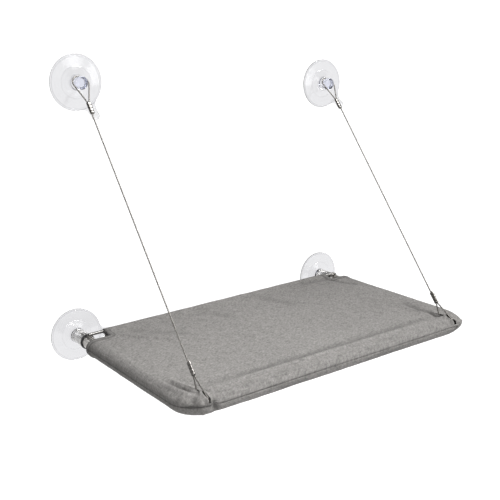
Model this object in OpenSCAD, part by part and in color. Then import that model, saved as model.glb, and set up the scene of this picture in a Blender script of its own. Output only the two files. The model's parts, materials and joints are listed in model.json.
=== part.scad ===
// Window mounted cat perch: a canvas bed on a bent steel tube, held to the glass by two lower
// suction cups and hung from two upper ones on steel wires.
// X runs to the right along the window, Y points at the glass and Z is up.
// The glass is the plane Y = 0 and the axis of the tube lies in the plane Z = 0.

/* [Frame tube] */
// Distance between the axes of the two side tubes
frame_w = 495; // [380:1:620]
// Distance from the glass to the axis of the front tube
frame_d = 346; // [260:1:420]
// Outer diameter of the tube
tube_od = 20; // [16:0.5:25]
// Wall of the tube
tube_wall = 1.2; // [0.8:0.1:2]
// Radius of the tube's axis at the two front bends
bend_r = 28; // [27:1:60]

/* [Crossbar] */
// Diameter of the rod that joins the side tubes near the glass
rod_d = 5; // [4:0.5:8]
// Distance from the sockets to the axis of the rod
rod_gap = 5; // [5:0.5:20]
// Thickness of the weld round the rod's end
weld_t = 0.9; // [0.5:0.1:2]

/* [Sockets] */
// Wall of the sleeve that joins a tube end to a suction cup
socket_wall = 1.2; // [0.8:0.1:2]
// Length of tube inside the sleeve
socket_grip = 18.5; // [10:0.5:30]
// Thickness of the black ring at the sleeve's mouth
bush_t = 2; // [1:0.25:4]

/* [Suction cups] */
// Diameter of the cup's rim
cup_d = 84; // [70:1:100]
// Height of the cup from the glass to its collar
cup_h = 6.5; // [5:0.5:12]
// Thickness of the rim
lip_t = 1.1; // [0.8:0.1:2]
// Diameter of the thick middle
pad_d = 48; // [36:1:56]
// Depth of the hollow that faces the glass
hollow_h = 2.4; // [1:0.1:3]
// Thickness of the collar that stops the sleeve
collar_t = 2.8; // [2:0.1:5]
// Depth of the groove under the button
groove_cut = 2; // [1.8:0.1:3]
// Room between the collar and the button
groove_w = 5; // [4.6:0.1:7]
// Thickness of the button
button_t = 8.5; // [5:0.5:12]
// Length of the pull tab past the rim
tab_len = 24; // [12:1:30]
// Width of the pull tab
tab_w = 13; // [8:0.5:18]
// Radius of the curve with which the tab leaves the rim
tab_flare = 16; // [6:1:24]

/* [Wires] */
// Height of the upper left cup above the tube's axis
left_high = 391; // [280:1:480]
// Height of the upper right cup above the tube's axis
right_high = 355; // [280:1:480]
// How much further out the upper left cup sits than its wire's lower loop
left_out = -14; // [-50:1:50]
// How much further out the upper right cup sits than its wire's lower loop
right_out = 37; // [-50:1:50]
// How far round the bend the lower loop sits, from the front tube
loop_turn = 14; // [5:1:26]
// Diameter of the twisted wire
wire_d = 2; // [1.4:0.1:2.6]
// Length of a crimped ferrule
ferrule_len = 19; // [12:1:26]
// Wall of a ferrule
ferrule_wall = 1.1; // [0.6:0.1:2]
// Distance from the tube's axis to the lower ferrule
low_leg = 38; // [30:1:60]
// Length of the upper loop, from its crown on the neck to the ferrule
top_leg = 48; // [40:1:70]
// Room between the upper loop and the button that it slips over
loop_ease = 1.5; // [1:0.5:4]
// Length of cut wire that shows past a ferrule
stub_len = 1.5; // [0.5:0.5:4]

/* [Canvas cover] */
// Thickness of the canvas
cloth_t = 1; // [0.6:0.1:2]
// Dip of the top panel at its middle
sag = 4; // [0:0.5:12]
// Dip of the under panel at its middle
under_sag = 2; // [0:0.5:8]
// Length of bare tube between the rod and the side sleeve
notch_len = 22; // [10:1:40]
// Width of the notch, from the tube's axis
notch_w = 25; // [16:1:25]
// Length of the doubled hem at a sleeve's end
hem_w = 8; // [4:0.5:15]
// Extra thickness of the doubled hem
hem_t = 0.7; // [0.3:0.1:1.5]
// Length of cloth turned under the rod
tail_len = 9; // [6:0.5:10]

/* [Hidden] */
$fn = 64;

// Clearances
// Tube and button inside the sleeve
slip = 0.15;
// Soft and loose pieces beside their neighbours
clear = 0.35;
// Overrun of every cut
over = 1;
// Room that the wire's lower loop has round the tube
loop_slack = 0.9;

// Suction cup, measured from the glass
cup_r = cup_d / 2;
pad_r = pad_d / 2;
button_r = tube_od / 2;
neck_r = button_r - groove_cut;
socket_bore_r = tube_od / 2 + slip;
collar_y = cup_h + collar_t;
button_y = collar_y + groove_w;
cup_len = button_y + button_t;

// Sleeve, black ring and tube end, as distances from the glass
socket_r = socket_bore_r + socket_wall;
socket_y = collar_y + clear;
tube_y = cup_len + clear;
socket_end = tube_y + socket_grip;
ring_end = socket_end + bush_t;
ring_r = socket_r - socket_wall / 2;

// Frame
half_w = frame_w / 2;
bend_x = half_w - bend_r;
bend_y = frame_d - bend_r;
rod_y = ring_end + rod_gap;
rod_z = tube_od / 2 + rod_d / 2;

// Wires: each is drawn upright over its lower loop at wire_x, and then leans over to its cup
wire_r = wire_d / 2;
loop_out = bend_r * sin(loop_turn);
wire_x = bend_x + loop_out;
// The lower loop clears the bent tube on its far and near side, and so finds its centre and radius
loop_pass = tube_od / 2 + wire_r + loop_slack;
loop_far = sqrt(pow(bend_r + loop_pass, 2) - pow(loop_out, 2));
loop_near = sqrt(pow(bend_r - loop_pass, 2) - pow(loop_out, 2));
wire_y = bend_y + (loop_far + loop_near) / 2;
loop_r = (loop_far - loop_near) / 2;
// The upper loop hangs with its crown on the neck, close to the collar
hook_r = neck_r + wire_r + clear;
hook_y = collar_y + wire_r + clear;
crown_r = button_r + wire_r + loop_ease;
pair = wire_r + clear / 4;
run_y = wire_y - hook_y;

// Cover: the canvas lies close on top of the tube, and clears the wire's loop round it elsewhere
sleeve_in = loop_r + wire_r + 2 * clear;
sleeve_r = sleeve_in + cloth_t;
top_r = tube_od / 2 + clear + cloth_t;
pocket_in = rod_d / 2 + clear;
pocket_r = pocket_in + cloth_t;
sleeve_y = rod_y + notch_len;
slit_back = loop_r + low_leg / 4;
// The wire swings this far out from the glass before it meets the slit's front end
swing_max = 45;
front_touch = touch(low_leg, pair, loop_r);

// Counts
side_steps = 7;
bend_steps = 6;
front_steps = 11;
roll_steps = 6;
wire_sides = 8;
tab_steps = 8;

// Outer face of the thin rim, as shares of its width and of its rise
rim_shares = [[0, 0], [0.08, 0.03], [0.3, 0.2], [0.55, 0.48], [0.8, 0.8], [1, 1]];
// Outer face of the thick middle, as shares from its edge to the neck
pad_shares = [[0, 0], [0.05, 0.16], [0.3, 0.35], [0.55, 0.58], [0.75, 0.78], [0.9, 0.92], [1, 1]];
// Hollow that faces the glass, as shares of its radius and of its depth
hollow_shares = [[0, 1], [0.3, 0.93], [0.6, 0.68], [0.85, 0.28], [1, 0]];
// Width of the flat rim on the glass, as a share of the cup's radius
land_share = 0.05;
// Height of the thin rim at the thick middle, as a share of the cup's height
step_share = 0.4;
// How far in the pull tab is rooted, as a share of the cup's radius
tab_root_share = 0.88;
// Lift off the glass and thickness of the pull tab, as shares of the rim's thickness
tab_lift_share = 0.4;
tab_share = 0.8;
// Rounding and dish of the button, as shares of its thickness
edge_share = 0.14;
dish_share = 0.1;

module cup_profile() {
    land_r = cup_r * (1 - land_share);
    step_h = cup_h * step_share;
    edge = button_t * edge_share;
    dish = button_t * dish_share;
    root = groove_w / 5;
    collar_edge = collar_t / 4;
    polygon(concat(
        [for (s = hollow_shares) [land_r * s[0], hollow_h * s[1]]],
        [[cup_r - lip_t / 3, 0], [cup_r, lip_t / 3]],
        [for (s = rim_shares) [cup_r - (cup_r - pad_r) * s[0], lip_t + (step_h - lip_t) * s[1]]],
        [for (s = pad_shares) [pad_r - (pad_r - socket_r - root) * s[0], step_h + (cup_h - step_h) * s[1]]],
        [[socket_r, cup_h + collar_edge], [socket_r, collar_y - collar_edge], [socket_r - collar_edge, collar_y],
         [neck_r + root / 2, collar_y], [neck_r, collar_y + root / 2],
         [neck_r, button_y - root / 2], [neck_r + root / 2, button_y],
         [button_r - edge, button_y], [button_r, button_y + edge], [button_r, cup_len - edge],
         [button_r - edge / 3, cup_len - edge / 3], [button_r - edge, cup_len],
         [button_r - 2 * edge, cup_len], [button_r - 3 * edge, cup_len - dish / 2], [0, cup_len - dish]]));
}

// Pull tab: a tongue that leaves the rim in two hollow curves and ends in a half circle
module cup_tab() {
    tip_r = tab_w / 2;
    rim_r = cup_r * (1 - land_share / 3);
    flare_y = tip_r + tab_flare;
    flare_x = sqrt(pow(rim_r + tab_flare, 2) - pow(flare_y, 2));
    flare_turn = asin(flare_y / (rim_r + tab_flare));
    tip_x = max(flare_x, cup_r + tab_len - tip_r);
    inner_r = cup_r * tab_root_share;
    flare = [for (i = [0:tab_steps]) let (a = 180 + flare_turn + (90 - flare_turn) * i / tab_steps)
        [flare_x + tab_flare * cos(a), flare_y + tab_flare * sin(a)]];
    tip = [for (i = [0:tab_steps]) let (a = 90 - 180 * i / tab_steps) [tip_x + tip_r * cos(a), tip_r * sin(a)]];
    root = [for (i = [0:tab_steps]) let (a = flare_turn * (2 * i / tab_steps - 1)) inner_r * [cos(a), sin(a)]];
    translate([0, 0, lip_t * tab_lift_share]) linear_extrude(lip_t * tab_share) polygon(concat(flare, tip,
        [for (i = [tab_steps:-1:0]) [flare[i][0], -flare[i][1]]], root));
}

module cup(x, z, tab_turn) {
    color("lavender", 0.6) translate([x, 0, z]) rotate([90, 0, 0]) {
        rotate_extrude($fn = 96) cup_profile();
        rotate([0, 0, tab_turn]) cup_tab();
    }
}

// Bar along Y between two distances from the glass
module bar(r, y0, y1) {
    translate([0, -y0, 0]) rotate([90, 0, 0]) cylinder(r = r, h = y1 - y0);
}

module u_bar(r, y0) {
    for (s = [-1, 1]) translate([s * half_w, 0, 0]) bar(r, y0, bend_y);
    translate([bend_x, -bend_y, 0]) rotate([0, 0, -90])
        rotate_extrude(angle = 90) translate([bend_r, 0]) circle(r = r);
    translate([-bend_x, -bend_y, 0]) rotate([0, 0, 180])
        rotate_extrude(angle = 90) translate([bend_r, 0]) circle(r = r);
    translate([-bend_x, -frame_d, 0]) rotate([0, 90, 0]) cylinder(r = r, h = 2 * bend_x);
}

module frame_tube() {
    color("silver") difference() {
        u_bar(tube_od / 2, tube_y);
        u_bar(tube_od / 2 - tube_wall, tube_y - over);
    }
}

// The rod lies on the side tubes, with a weld saddle under each end
module rear_crossbar() {
    color("gainsboro") difference() {
        union() {
            translate([-half_w, -rod_y, rod_z]) rotate([0, 90, 0]) cylinder(d = rod_d, h = frame_w);
            for (s = [-1, 1]) translate([s * half_w, -rod_y, tube_od / 4])
                cylinder(r = rod_d / 2 + weld_t, h = rod_z - tube_od / 4);
        }
        for (s = [-1, 1]) translate([s * half_w, 0, 0]) bar(tube_od / 2, tube_y, bend_y);
    }
}

module socket(s) {
    color("silver") translate([s * half_w, 0, 0]) difference() {
        bar(socket_r, socket_y, socket_end);
        bar(socket_bore_r, socket_y - over, socket_end + over);
    }
}

module socket_ring(s) {
    color("black") translate([s * half_w, 0, 0]) difference() {
        bar(ring_r, socket_end, ring_end);
        bar(socket_bore_r, socket_end - over, ring_end + over);
    }
}

// Point of an upright wire of height h: along its run from the tube's axis, aside in its plane, out along X
function run_at(h, along, aside, out) = let (d = unit([0, run_y, h]))
    [out, -wire_y, 0] + along * d + aside * [0, d[2], -d[1]];

// Angle from the run's direction at which a line from an outer point touches a circle of radius r
function touch(along, aside, r) = acos(r / norm([along, aside])) + atan2(aside, along);

// Lower loop, from the front leg round the tube to the leg on the glass side
loop_steps = 18;
function low_loop(h) = [for (i = [0:loop_steps])
    let (turn = -front_touch - (360 - 2 * front_touch) * i / loop_steps)
    run_at(h, loop_r * cos(turn), loop_r * sin(turn), 0)];

// Upper loop, in a plane through the run and the X axis: round its crown, and straight to the ferrule
crown_steps = 20;
crown_touch = 180 - touch(top_leg - crown_r, pair, crown_r);
function crown_at(h, turn) = run_at(h, norm([run_y, h]) - crown_r + crown_r * cos(turn), 0, crown_r * sin(turn));

function top_start(h) = norm([run_y, h]) - top_leg;
function wire_path(h) = let (low = low_leg + ferrule_len, high = top_start(h) - ferrule_len) concat(
    [run_at(h, low + stub_len, -pair, 0), run_at(h, low_leg, -pair, 0)],
    low_loop(h),
    [run_at(h, low_leg, pair, 0), run_at(h, low, pair, 0)],
    [run_at(h, high, 0, pair), run_at(h, top_start(h), 0, pair)],
    [for (i = [0:crown_steps]) crown_at(h, crown_touch * (1 - 2 * i / crown_steps))],
    [run_at(h, top_start(h), 0, -pair), run_at(h, high - stub_len, 0, -pair)]);

function unit(v) = v / norm(v);
function heading(p, i) = unit(p[min(i + 1, len(p) - 1)] - p[max(i - 1, 0)]);
// A side vector carried along the path without twist
function carried(p, i, v) = i >= len(p) ? [] :
    let (h = heading(p, i), w = unit(v - (v * h) * h)) concat([[h, w]], carried(p, i + 1, w));
function ring(c, h, w, r, n) = [for (j = [0:n - 1])
    c + r * (cos(360 * j / n) * w + sin(360 * j / n) * cross(h, w))];

module wire(path) {
    n = wire_sides;
    count = len(path);
    frames = carried(path, 0, [1, 0.02, 0.01]);
    points = [for (i = [0:count - 1]) each ring(path[i], frames[i][0], frames[i][1], wire_r, n)];
    walls = [for (i = [0:count - 2]) for (j = [0:n - 1])
        each let (k = (j + 1) % n, a = i * n + j, b = i * n + k, c = (i + 1) * n + k, d = (i + 1) * n + j)
            [[a, d, c], [a, c, b]]];
    caps = [[for (j = [0:n - 1]) j], [for (j = [n - 1:-1:0]) (count - 1) * n + j]];
    polyhedron(points = points, faces = concat(walls, caps));
}

// An upright wire, whose crown is above the cup's axis, leans outwards about its foot until it reaches its cup
function upright(out, high) = norm([out, high]) + hook_r;
module leaned(out, high) {
    translate([wire_x, 0, 0]) rotate([0, atan2(out, high), 0]) children();
}

module cable(out, high) {
    color("silver") leaned(out, high) wire(wire_path(upright(out, high)));
}

// Flat oval with round ends
module oval(half_gap, r) {
    square([2 * half_gap, 2 * r], center = true);
    for (s = [-1, 1]) translate([s * half_gap, 0]) circle(r = r);
}

// Ferrule along Z: a pressed oval sleeve with slightly drawn-in ends
module ferrule() {
    bore = wire_r + clear / 4;
    r = bore + ferrule_wall;
    lead = ferrule_len / 10;
    difference() {
        union() {
            linear_extrude(ferrule_len) oval(pair, r - ferrule_wall / 4);
            translate([0, 0, lead]) linear_extrude(ferrule_len - 2 * lead) oval(pair, r);
        }
        translate([0, 0, -over]) linear_extrude(ferrule_len + 2 * over) oval(pair, bore);
    }
}

module place_on_run(h, along, quarter) {
    translate(run_at(h, along, 0, 0)) rotate([-atan2(run_y, h), 0, 0]) rotate([0, 0, quarter]) children();
}

module upper_ferrule(out, high) {
    h = upright(out, high);
    color("silver") leaned(out, high) place_on_run(h, top_start(h) - ferrule_len, 0) ferrule();
}

module lower_ferrule(out, high) {
    color("silver") leaned(out, high) place_on_run(upright(out, high), low_leg, 90) ferrule();
}

// Stations along the tube, each [x, y, outward x, outward y, hem]: left side, left bend, front, and mirrored
hem_end = sleeve_y + hem_w;
open_y = hem_end + hem_t;
side_y = concat([sleeve_y, hem_end, open_y],
    [for (i = [1:side_steps]) open_y + (bend_y - open_y) * i / side_steps]);
left_path = concat(
    [for (i = [0:len(side_y) - 1]) [-half_w, -side_y[i], -1, 0, i < 2 ? hem_t : 0]],
    [for (i = [1:bend_steps]) let (a = 180 + 90 * i / bend_steps)
        [-bend_x + bend_r * cos(a), -bend_y + bend_r * sin(a), cos(a), sin(a), 0]]);
left_n = len(left_path);
cover_path = concat(left_path,
    [for (i = [1:front_steps - 1]) [-bend_x + 2 * bend_x * i / front_steps, -frame_d, 0, -1, 0]],
    [for (i = [left_n - 1:-1:0]) let (p = left_path[i]) [-p[0], p[1], -p[2], p[3], p[4]]]);
path_n = len(cover_path);
rings = roll_steps + 2;
inner_x = half_w - notch_w;

// Roll of the cloth round the tube: a quarter oval from the seam, r out, to the top, z up, then flat inwards
function rolled(p, k, r, z) = k <= roll_steps
    ? let (a = 90 * k / roll_steps) [p[0] + p[2] * r * cos(a), p[1] + p[3] * r * cos(a), z * sin(a)]
    : [p[0] - p[2] * notch_w, p[1] - p[3] * notch_w, z];

// Rows across the bed: the tail rows behind the sleeves, then one row for each station of the left path
function dip(x, y, depth) = let (v = (frame_d - notch_w + y) / (frame_d - notch_w - rod_y))
    depth * (1 - pow(x / inner_x, 2)) * 4 * v * (1 - v);
function across(i, j, tail, rise, depth, face) = let (
        t_n = len(tail), row = j < t_n ? tail[j] : [],
        p = j < t_n ? [] : rolled(left_path[j - t_n], rings - 1, sleeve_r, rise - face * cloth_t),
        x0 = j < t_n ? -inner_x : p[0], y = j < t_n ? row[face][0] : p[1], z = j < t_n ? row[face][1] : p[2],
        x = x0 - 2 * x0 * i / front_steps)
    [x, y, z - (j < t_n ? 0 : dip(x, y, depth))];

module panel(tail, rise, depth) {
    t_n = len(tail);
    rows = t_n + left_n;
    strip_n = path_n * rings;
    tail_cells = t_n * (front_steps + 1);
    face_n = strip_n + tail_cells + (left_n - 1) * (front_steps - 1);
    points = [for (face = [0, 1]) each concat(
        [for (m = [0:path_n - 1]) for (k = [0:rings - 1]) let (p = cover_path[m])
            rolled(p, k, face == 0 ? sleeve_r + p[4] : sleeve_in, face == 0 ? rise + p[4] : rise - cloth_t)],
        [for (j = [0:t_n - 1]) for (i = [0:front_steps]) across(i, j, tail, rise, depth, face)],
        [for (j = [t_n:rows - 2]) for (i = [1:front_steps - 1]) across(i, j, tail, rise, depth, face)])];
    function s(m, k) = m * rings + k;
    function g(i, j) = j < t_n ? strip_n + j * (front_steps + 1) + i
        : j == rows - 1 ? s(left_n - 1 + i, rings - 1)
        : i == 0 ? s(j - t_n, rings - 1)
        : i == front_steps ? s(path_n - 1 - (j - t_n), rings - 1)
        : strip_n + tail_cells + (j - t_n) * (front_steps - 1) + i - 1;
    strip = [for (m = [0:path_n - 2]) for (k = [0:rings - 2])
        [s(m, k), s(m, k + 1), s(m + 1, k + 1), s(m + 1, k)]];
    field = [for (j = [0:rows - 2]) for (i = [0:front_steps - 1])
        [g(i, j), g(i + 1, j), g(i + 1, j + 1), g(i, j + 1)]];
    // Edges of the outer face, in the order that closes the shell
    edges = concat(
        [for (m = [0:path_n - 2]) [s(m, 0), s(m + 1, 0)]],
        [for (k = [0:rings - 2]) [s(0, k + 1), s(0, k)]],
        [for (k = [0:rings - 2]) [s(path_n - 1, k), s(path_n - 1, k + 1)]],
        [for (j = [0:t_n - 1]) [g(0, j), g(0, j + 1)]],
        [for (j = [0:t_n - 1]) [g(front_steps, j + 1), g(front_steps, j)]],
        [for (i = [0:front_steps - 1]) [g(i + 1, 0), g(i, 0)]]);
    skin = concat(strip, field);
    faces = concat(
        [for (q = skin) each [[q[0], q[1], q[2]], [q[0], q[2], q[3]]]],
        [for (q = skin) let (b = [for (v = q) v + face_n]) each [[b[2], b[1], b[0]], [b[3], b[2], b[0]]]],
        [for (e = edges) each [[e[0], e[1], e[1] + face_n], [e[0], e[1] + face_n, e[0] + face_n]]]);
    polyhedron(points = points, faces = faces);
}

// Tail rows, each [[y, z] of the outer face, [y, z] of the inner face]
top_tail = [for (i = [0:3])
    let (t = i / 4, z = (rod_z + pocket_r) * (1 - t) + top_r * t, y = -rod_y - notch_len * t)
    [[y, z], [y, z - cloth_t]]];
wall_y = rod_y + tail_len / 2;
wall_z = -(rod_z - pocket_r);
corner = 2 * cloth_t;
under_tail = [
    [[-wall_y, wall_z], [-wall_y - cloth_t, wall_z]],
    [[-wall_y, sleeve_r - 2 * corner], [-wall_y - cloth_t, sleeve_in - 2 * corner]],
    [[-wall_y - corner / 2, sleeve_r - corner / 2],
        [-wall_y - cloth_t - corner / 2, sleeve_in - corner / 2]]];

// A slit over the bend lets the wire's loop through and swing, wide enough for a leaning wire
module slit(out, high) {
    lean = sleeve_r * out / high;
    width = wire_d + abs(lean) + 4 * clear;
    end = front_touch + swing_max - atan2(run_y, upright(out, high));
    translate([wire_x + lean / 2 - width / 2, -wire_y - sleeve_r - over, sleeve_in * cos(end)])
        cube([width, sleeve_r + over + slit_back, sleeve_r]);
}

module cover_top_panel() {
    color("gray") difference() {
        panel(top_tail, top_r, sag);
        slit(right_out, right_high);
        mirrored_x() slit(left_out, left_high);
    }
}

module cover_under_panel() {
    color("dimgray") mirror([0, 0, 1]) panel(under_tail, sleeve_r, -under_sag);
}

// Cloth wrapped round the rod and turned under
module cover_rod_pocket() {
    turn = [for (a = [90:-15:-90]) [cos(a), sin(a)]];
    color("gray") translate([-inner_x, -rod_y, rod_z]) rotate([90, 0, 90]) linear_extrude(2 * inner_x)
        polygon(concat([for (p = turn) pocket_r * p], [[-tail_len, -pocket_r], [-tail_len, -pocket_in]],
            [for (i = [len(turn) - 1:-1:0]) pocket_in * turn[i]]));
}

module mirrored_x() {
    mirror([1, 0, 0]) children();
}

// Directions of the pull tabs as seen from the room
lower_left_tab = -8;
lower_right_tab = -62;
upper_left_tab = -62;
upper_right_tab = -44;

module socket_left() { socket(-1); }
module socket_right() { socket(1); }
module socket_ring_left() { socket_ring(-1); }
module socket_ring_right() { socket_ring(1); }
module lower_cup_left() { cup(-half_w, 0, lower_left_tab); }
module lower_cup_right() { cup(half_w, 0, lower_right_tab); }
module upper_cup_left() { cup(-wire_x - left_out, left_high, upper_left_tab); }
module upper_cup_right() { cup(wire_x + right_out, right_high, upper_right_tab); }
module cable_left() { mirrored_x() cable(left_out, left_high); }
module cable_right() { cable(right_out, right_high); }
module upper_ferrule_left() { mirrored_x() upper_ferrule(left_out, left_high); }
module upper_ferrule_right() { upper_ferrule(right_out, right_high); }
module lower_ferrule_left() { mirrored_x() lower_ferrule(left_out, left_high); }
module lower_ferrule_right() { lower_ferrule(right_out, right_high); }

frame_tube();
rear_crossbar();
socket_left();
socket_right();
socket_ring_left();
socket_ring_right();
cover_top_panel();
cover_under_panel();
cover_rod_pocket();
lower_cup_left();
lower_cup_right();
upper_cup_left();
upper_cup_right();
cable_left();
cable_right();
upper_ferrule_left();
upper_ferrule_right();
lower_ferrule_left();
lower_ferrule_right();
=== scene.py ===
# %% [markdown]
# # A window mounted cat perch
# The perch is a canvas bed stretched over a bent steel tube. Two suction cups carry the tube's ends,
# and two twisted steel wires hold its front corners from two more cups higher up the glass.
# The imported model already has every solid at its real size, so this script only dresses it: it loads
# the solids, keeps the box they fill, and puts finer pieces and finishes where the solids are.

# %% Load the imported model
import json
from math import acos, atan2, cos, exp, hypot, pi, radians, sin, sqrt
import bmesh
import bpy
from mathutils import Matrix, Vector, noise
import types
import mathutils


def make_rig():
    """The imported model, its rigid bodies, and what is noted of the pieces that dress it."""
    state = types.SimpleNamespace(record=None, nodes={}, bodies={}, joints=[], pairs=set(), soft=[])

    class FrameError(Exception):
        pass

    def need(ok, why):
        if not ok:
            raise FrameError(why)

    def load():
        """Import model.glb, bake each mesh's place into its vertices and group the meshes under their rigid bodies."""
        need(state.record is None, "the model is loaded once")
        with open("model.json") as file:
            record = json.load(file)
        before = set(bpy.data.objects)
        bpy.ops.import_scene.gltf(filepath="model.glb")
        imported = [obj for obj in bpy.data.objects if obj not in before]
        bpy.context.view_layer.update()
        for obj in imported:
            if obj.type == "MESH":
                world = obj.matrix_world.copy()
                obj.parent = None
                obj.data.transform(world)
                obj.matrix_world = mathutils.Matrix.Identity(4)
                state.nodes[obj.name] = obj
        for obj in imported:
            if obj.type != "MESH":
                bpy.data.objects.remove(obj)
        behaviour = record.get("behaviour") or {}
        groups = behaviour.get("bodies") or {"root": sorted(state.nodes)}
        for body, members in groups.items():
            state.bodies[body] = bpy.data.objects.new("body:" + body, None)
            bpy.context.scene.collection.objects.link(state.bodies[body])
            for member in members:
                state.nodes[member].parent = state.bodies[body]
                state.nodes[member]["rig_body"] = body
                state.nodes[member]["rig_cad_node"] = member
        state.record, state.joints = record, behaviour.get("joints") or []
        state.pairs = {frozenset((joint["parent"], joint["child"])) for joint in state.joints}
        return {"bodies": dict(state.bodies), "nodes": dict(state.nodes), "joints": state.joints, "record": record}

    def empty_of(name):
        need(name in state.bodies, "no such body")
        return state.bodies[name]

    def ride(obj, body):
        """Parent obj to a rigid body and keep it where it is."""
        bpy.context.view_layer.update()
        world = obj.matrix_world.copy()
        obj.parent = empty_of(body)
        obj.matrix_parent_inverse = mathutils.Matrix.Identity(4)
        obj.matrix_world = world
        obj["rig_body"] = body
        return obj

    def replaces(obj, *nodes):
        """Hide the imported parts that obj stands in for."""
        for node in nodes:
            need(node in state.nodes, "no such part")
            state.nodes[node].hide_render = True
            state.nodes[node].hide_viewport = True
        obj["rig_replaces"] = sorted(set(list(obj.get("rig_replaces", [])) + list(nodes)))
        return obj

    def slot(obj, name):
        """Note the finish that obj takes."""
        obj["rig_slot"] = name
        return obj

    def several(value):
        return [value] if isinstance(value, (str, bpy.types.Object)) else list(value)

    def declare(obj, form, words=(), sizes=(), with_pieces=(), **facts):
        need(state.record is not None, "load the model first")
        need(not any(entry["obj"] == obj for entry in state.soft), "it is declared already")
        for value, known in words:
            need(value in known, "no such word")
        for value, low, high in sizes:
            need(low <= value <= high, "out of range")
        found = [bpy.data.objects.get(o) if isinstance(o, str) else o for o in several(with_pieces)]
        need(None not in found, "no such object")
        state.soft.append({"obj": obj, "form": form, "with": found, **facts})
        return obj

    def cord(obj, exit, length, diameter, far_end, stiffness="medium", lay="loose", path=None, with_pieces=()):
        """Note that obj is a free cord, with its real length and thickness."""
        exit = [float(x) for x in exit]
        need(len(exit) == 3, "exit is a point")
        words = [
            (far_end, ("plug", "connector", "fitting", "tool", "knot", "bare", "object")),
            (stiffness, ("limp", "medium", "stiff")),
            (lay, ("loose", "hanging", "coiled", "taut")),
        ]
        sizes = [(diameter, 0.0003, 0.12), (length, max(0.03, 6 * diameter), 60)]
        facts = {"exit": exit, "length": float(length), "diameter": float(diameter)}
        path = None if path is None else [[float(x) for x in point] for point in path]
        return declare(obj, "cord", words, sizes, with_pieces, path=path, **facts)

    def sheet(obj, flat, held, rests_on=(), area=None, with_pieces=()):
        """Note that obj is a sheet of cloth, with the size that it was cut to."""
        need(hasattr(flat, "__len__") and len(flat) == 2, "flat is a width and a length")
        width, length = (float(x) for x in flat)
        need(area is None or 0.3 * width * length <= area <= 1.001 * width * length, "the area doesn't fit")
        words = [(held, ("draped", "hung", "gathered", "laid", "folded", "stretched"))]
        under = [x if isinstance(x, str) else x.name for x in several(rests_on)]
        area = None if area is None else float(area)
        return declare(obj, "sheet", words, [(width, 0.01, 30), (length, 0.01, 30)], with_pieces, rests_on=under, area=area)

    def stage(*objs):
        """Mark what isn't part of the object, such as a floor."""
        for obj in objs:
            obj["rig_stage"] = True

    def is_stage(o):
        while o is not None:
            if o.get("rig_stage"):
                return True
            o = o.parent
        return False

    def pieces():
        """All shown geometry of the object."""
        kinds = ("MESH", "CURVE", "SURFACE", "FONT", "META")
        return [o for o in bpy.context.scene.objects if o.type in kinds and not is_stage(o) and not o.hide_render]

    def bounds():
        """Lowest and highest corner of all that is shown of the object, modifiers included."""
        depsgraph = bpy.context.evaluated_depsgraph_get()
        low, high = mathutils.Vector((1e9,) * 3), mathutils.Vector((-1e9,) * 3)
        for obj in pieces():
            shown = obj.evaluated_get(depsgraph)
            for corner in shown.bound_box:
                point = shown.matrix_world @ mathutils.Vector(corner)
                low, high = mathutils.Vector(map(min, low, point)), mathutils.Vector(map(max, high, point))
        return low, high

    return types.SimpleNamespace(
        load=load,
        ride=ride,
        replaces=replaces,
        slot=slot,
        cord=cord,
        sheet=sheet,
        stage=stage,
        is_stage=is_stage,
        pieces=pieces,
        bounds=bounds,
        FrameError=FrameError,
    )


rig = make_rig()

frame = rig.load()
nodes = frame["nodes"]
solid_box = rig.bounds()
shown = bpy.context.scene.collection.objects
print("loaded", len(nodes), "solids, which fill", [round(v, 4) for v in solid_box[1] - solid_box[0]])

# %% [markdown]
# ## The camera
# A photograph is matched by its camera first, because every later comparison depends on it. The
# rims of the four cups are true circles, so their outlines gave the camera's turn, height and
# distance. It is a plain camera with no shift, which stands low and to the left of the window.

# %% Camera
swing, tip, lean_over = radians(-34.808), radians(15.0962), radians(-2.0109)
camera_place = (-0.77108, -1.24428, 0.48416)
focal_pixels, picture_pixels = 883.879, 500
away = Vector((sin(swing) * cos(tip), -cos(swing) * cos(tip), sin(tip)))
level = Vector((cos(swing), sin(swing), 0))
upright = away.cross(level)
camera_right = level * cos(lean_over) + upright * sin(lean_over)
camera_up = upright * cos(lean_over) - level * sin(lean_over)
lens = bpy.data.cameras.new("photo_camera")
lens.sensor_width = 36
lens.lens = focal_pixels / picture_pixels * lens.sensor_width
camera = bpy.data.objects.new("photo_camera", lens)
turned = Matrix((camera_right, camera_up, away)).transposed().to_4x4()
camera.matrix_world = Matrix.Translation(camera_place) @ turned
shown.link(camera)
bpy.context.scene.camera = camera
print("lens", round(lens.lens, 2), "mm")

# %% [markdown]
# ## Sockets that read like sums
# A finish is a small calculation: noise times a strength, plus a colour. Drawn by hand in the
# editor that is a web of Math nodes. Here one class wraps a socket and overloads the operators, so
# that `1 - groove * 0.4` adds its own nodes, and another holds a material and adds any other node.

# %% A value in a material
class Value:
    """One output socket. An expression on it adds Math nodes to its material."""

    def __init__(self, finish, socket):
        self.finish = finish
        self.socket = socket

    def math(self, operation, *others):
        return self.finish.add("Math", {"operation": operation}, dict(enumerate((self, *others))))

    def __add__(self, other):
        return self.math("ADD", other)

    def __mul__(self, other):
        return self.math("MULTIPLY", other)

    def __sub__(self, other):
        return self.math("SUBTRACT", other)

    def __rsub__(self, other):
        return self.math("MULTIPLY_ADD", -1, other)

    def __truediv__(self, other):
        return self.math("DIVIDE", other)

    def kept_in(self, low, high):
        """This value cut off at a lowest and a highest number."""
        return self.math("MAXIMUM", low).math("MINIMUM", high)


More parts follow.
